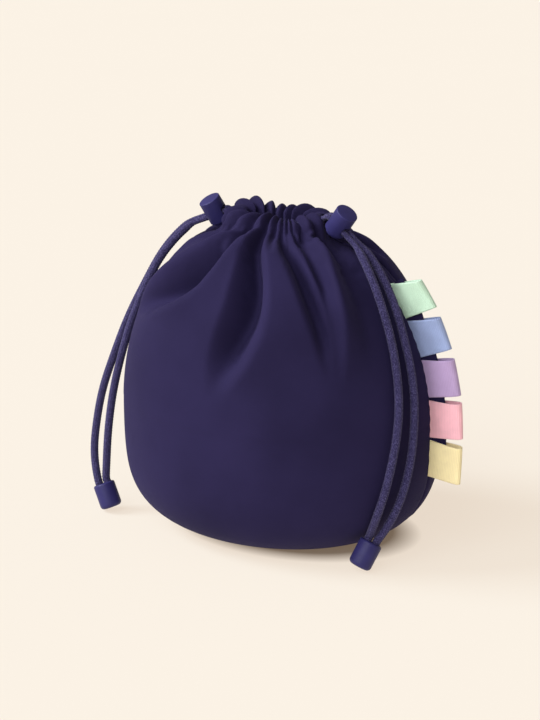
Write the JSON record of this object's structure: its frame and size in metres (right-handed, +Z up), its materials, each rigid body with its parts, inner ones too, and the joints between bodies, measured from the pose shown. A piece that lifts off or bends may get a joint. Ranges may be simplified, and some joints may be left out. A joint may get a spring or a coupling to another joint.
{
  "type": "drawstring makeup bag",
  "caption": "Round gathered fabric pouch closed by drawcords with sprung barrel cord locks and moulded cord ends, with ribbon loops sewn into one side seam.",
  "frame": {"origin": "on the surface the bag stands on, under the middle of its body", "axes": "+Z up, X across the bag's width with the ribbon loops at +X, front of the bag towards -Y"},
  "size_m": [0.2173, 0.146, 0.1849],
  "materials": {
    "fabric": "matte navy woven nylon",
    "cord": "matte navy braid",
    "plastic": "satin navy",
    "spring_wire": "drawn wire",
    "mint_ribbon": "ribbed grosgrain",
    "blue_ribbon": "ribbed grosgrain",
    "lilac_ribbon": "ribbed grosgrain",
    "pink_ribbon": "ribbed grosgrain",
    "yellow_ribbon": "ribbed grosgrain"
  },
  "bodies": {
    "bag": {"front_panel": "fabric", "back_panel": "fabric", "mint_loop": "mint_ribbon", "blue_loop": "blue_ribbon", "lilac_loop": "lilac_ribbon", "pink_loop": "pink_ribbon", "yellow_loop": "yellow_ribbon", "left_cord_end": "plastic", "left_cord_in_channel": "cord", "left_front_strand": "cord", "left_back_strand": "cord", "right_cord_end": "plastic", "right_cord_in_channel": "cord", "right_front_strand": "cord", "right_back_strand": "cord"},
    "left_lock": {"left_lock_barrel": "plastic", "left_lock_spring": "spring_wire"},
    "left_plunger": {"left_lock_plunger": "plastic"},
    "right_lock": {"right_lock_barrel": "plastic", "right_lock_spring": "spring_wire"},
    "right_plunger": {"right_lock_plunger": "plastic"}
  },
  "joints": [
    {"name": "left_lock_slide", "type": "slide", "parent": "bag", "child": "left_lock", "axis": [-0.9279, -0.0428, -0.3704], "range_m": [0, 0.008]},
    {"name": "left_plunger_press", "type": "slide", "parent": "left_lock", "child": "left_plunger", "axis": [-0.325, -0.3942, 0.8596], "range_m": [0, 0.0016], "stiffness_N_per_m": 800, "springref_m": -0.002, "deforming": ["left_lock_spring"]},
    {"name": "right_lock_slide", "type": "slide", "parent": "bag", "child": "right_lock", "axis": [0.7801, -0.1003, -0.6175], "range_m": [0, 0.008]},
    {"name": "right_plunger_press", "type": "slide", "parent": "right_lock", "child": "right_plunger", "axis": [0.5999, -0.16, 0.7839], "range_m": [0, 0.0016], "stiffness_N_per_m": 800, "springref_m": -0.002, "deforming": ["right_lock_spring"]}
  ]
}
